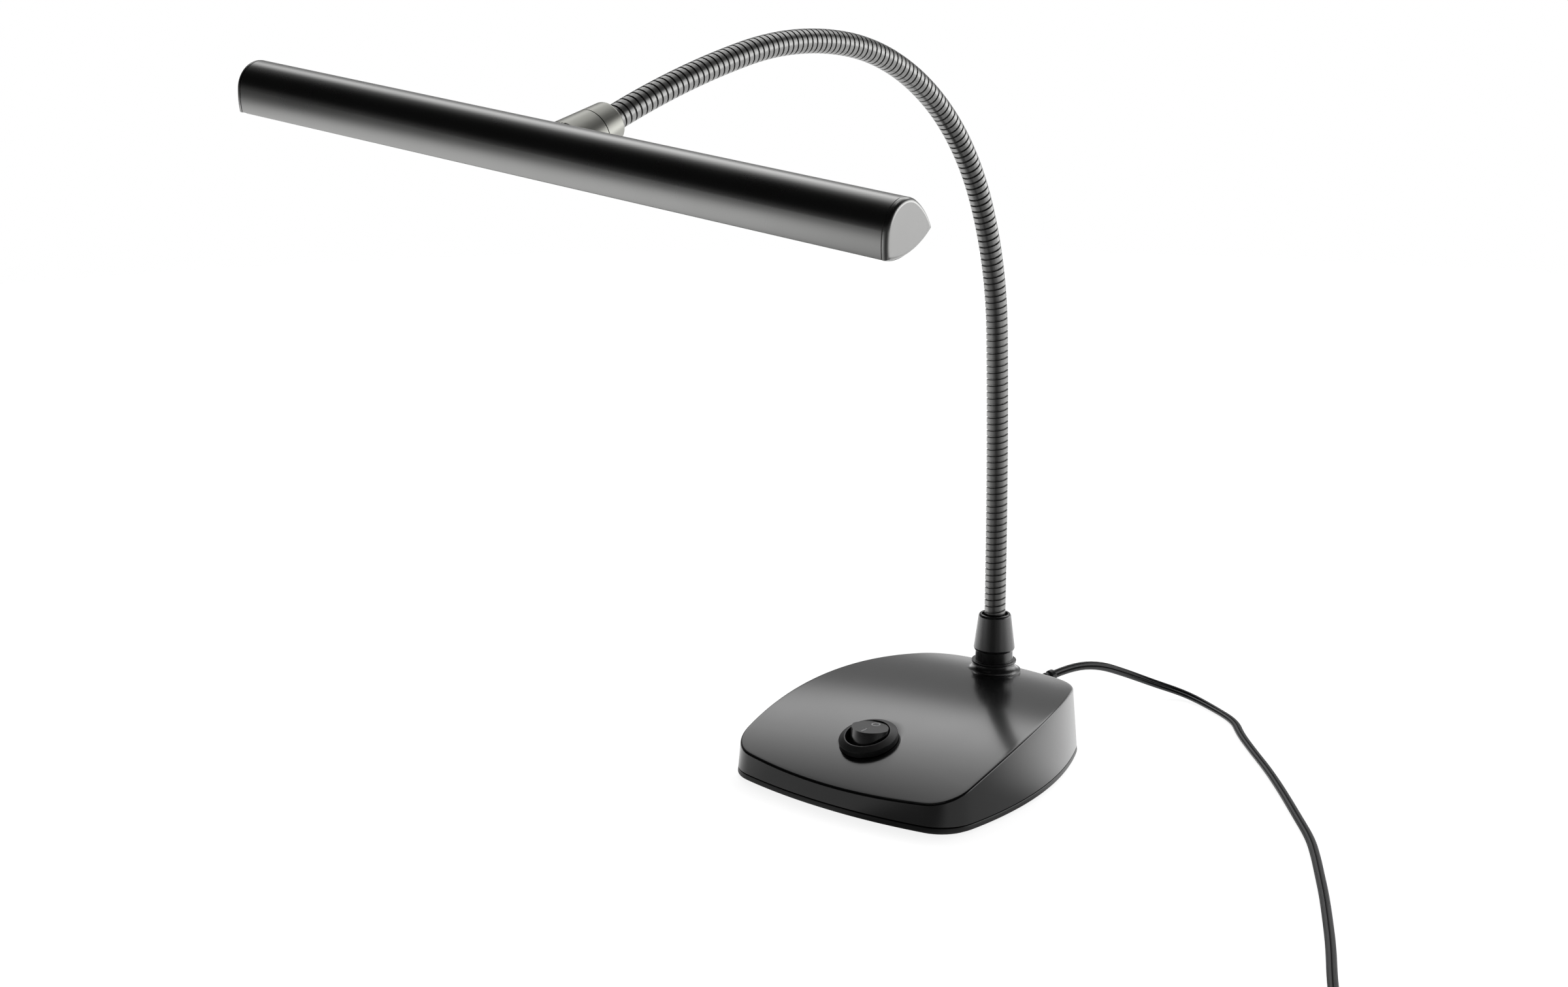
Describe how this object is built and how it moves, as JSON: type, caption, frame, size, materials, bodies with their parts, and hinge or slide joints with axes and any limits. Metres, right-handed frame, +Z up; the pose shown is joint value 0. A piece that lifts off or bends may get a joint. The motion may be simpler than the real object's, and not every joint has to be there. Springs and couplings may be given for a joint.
{
  "type": "piano lamp",
  "caption": "Weighted table lamp with a round rocker switch, an arched gooseneck and a wide bar-shaped LED head that turns on a swivel.",
  "frame": {"origin": "centre of the base's footprint, on the surface that the lamp stands on", "axes": "+Z up; +X across the base to the right of a person who faces the switch; -Y towards the front, where the head hangs over"},
  "size_m": [0.4548, 0.3528, 0.2903],
  "materials": {
    "shell_black": "satin moulded ABS",
    "plate_black": "fine matt texture",
    "pad_rubber": "matt",
    "screw_steel": "zinc plated",
    "ballast_iron": "raw",
    "board_green": "solder mask",
    "board_part_black": "matt",
    "clamp_black": "matt",
    "switch_black": "fine matt texture",
    "rocker_black": "satin gloss",
    "contact_brass": "plain",
    "foot_black": "satin black paint",
    "nut_steel": "zinc plated",
    "gooseneck_black": "satin black over wound steel",
    "collar_black": "dark satin anodised",
    "head_black": "black satin anodised",
    "cap_black": "satin, smooth moulded",
    "lens_frosted": "frosted",
    "board_white": "white solder mask",
    "led_yellow": "phosphor under clear resin",
    "wire_red": "smooth PVC",
    "cord_black": "satin PVC",
    "tie_black": "plain",
    "plug_metal": "nickel plated"
  },
  "bodies": {
    "base": {"base_shell": "shell_black", "bottom_plate": "plate_black", "base_pad": "pad_rubber", "base_screws": "screw_steel", "ballast_weight": "ballast_iron", "ballast_screws": "screw_steel", "driver_board": "board_green", "board_standoffs": "screw_steel", "small_screws": "screw_steel", "board_parts": "board_part_black", "cord_clamp": "clamp_black", "supply_lead": "cord_black", "switch_body": "switch_black", "switch_contact": "contact_brass", "switch_terminals": "contact_brass", "switch_leads": "wire_red", "lamp_leads": "wire_red", "neck_flange": "foot_black", "neck_sleeve": "foot_black", "neck_nipple": "contact_brass", "neck_washer": "nut_steel", "neck_nut": "nut_steel", "gooseneck_0": "gooseneck_black", "neck_leads_0": "wire_red", "strain_relief": "cord_black", "cord": "cord_black", "cord_coil": "cord_black", "coil_tie": "tie_black", "cord_tail": "cord_black", "plug_grip": "cord_black", "plug_barrel": "plug_metal"},
    "rocker": {"rocker": "rocker_black"},
    "neck_1": {"gooseneck_1": "gooseneck_black", "neck_leads_1": "wire_red"},
    "neck_2": {"gooseneck_2": "gooseneck_black", "neck_leads_2": "wire_red"},
    "neck_3": {"gooseneck_3": "gooseneck_black", "neck_leads_3": "wire_red"},
    "neck_4": {"gooseneck_4": "gooseneck_black", "neck_leads_4": "wire_red"},
    "neck_5": {"gooseneck_5": "gooseneck_black", "neck_leads_5": "wire_red"},
    "neck_6": {"gooseneck_6": "gooseneck_black", "neck_leads_6": "wire_red"},
    "neck_7": {"gooseneck_7": "gooseneck_black", "neck_leads_7": "wire_red", "neck_collar": "collar_black", "swivel_tube": "nut_steel", "swivel_washers": "nut_steel", "swivel_nut": "nut_steel", "swivel_leads": "wire_red"},
    "head": {"head_cone": "collar_black", "head_shell": "head_black", "end_cap_right": "cap_black", "end_cap_left": "cap_black", "lens": "lens_frosted", "led_board": "board_white", "led_screws": "screw_steel", "led_chips": "led_yellow", "head_leads": "wire_red"}
  },
  "joints": [
    {"name": "rocker_tilt", "type": "hinge", "parent": "base", "child": "rocker", "pos_m": [0, -0.03521, 0.01804], "axis": [1, 0, 0], "range_deg": [0, 31]},
    {"name": "neck_bend_1", "type": "hinge", "parent": "base", "child": "neck_1", "pos_m": [0, 0.0467, 0.057], "axis": [1, 0, 0], "range_deg": [-10, 10]},
    {"name": "neck_side_2", "type": "hinge", "parent": "neck_1", "child": "neck_2", "pos_m": [0, 0.04608, 0.11199], "axis": [0, 0.9997, 0.0227], "range_deg": [-12, 12]},
    {"name": "neck_bend_3", "type": "hinge", "parent": "neck_2", "child": "neck_3", "pos_m": [0, 0.04401, 0.16695], "axis": [1, 0, 0], "range_deg": [-10, 10]},
    {"name": "neck_bend_4", "type": "hinge", "parent": "neck_3", "child": "neck_4", "pos_m": [0, 0.03129, 0.22015], "axis": [1, 0, 0], "range_deg": [-25, 12]},
    {"name": "neck_side_5", "type": "hinge", "parent": "neck_4", "child": "neck_5", "pos_m": [0, -0.00265, 0.26266], "axis": [0, 0.5976, 0.8018], "range_deg": [-15, 15]},
    {"name": "neck_bend_6", "type": "hinge", "parent": "neck_5", "child": "neck_6", "pos_m": [0, -0.05279, 0.28395], "axis": [1, 0, 0], "range_deg": [-25, 12]},
    {"name": "neck_bend_7", "type": "hinge", "parent": "neck_6", "child": "neck_7", "pos_m": [0, -0.10752, 0.28347], "axis": [1, 0, 0], "range_deg": [-25, 12]},
    {"name": "head_turn", "type": "hinge", "parent": "neck_7", "child": "head", "pos_m": [0, -0.17315, 0.26595], "axis": [0, -0.9421, -0.3355], "range_deg": [-85, 95]}
  ],
  "couplings": [
    {"joint": "neck_bend_3", "follows": "neck_bend_1", "ratio": 1},
    {"joint": "neck_bend_6", "follows": "neck_bend_4", "ratio": 1},
    {"joint": "neck_bend_7", "follows": "neck_bend_4", "ratio": 1},
    {"joint": "neck_side_5", "follows": "neck_side_2", "ratio": 1.25}
  ]
}
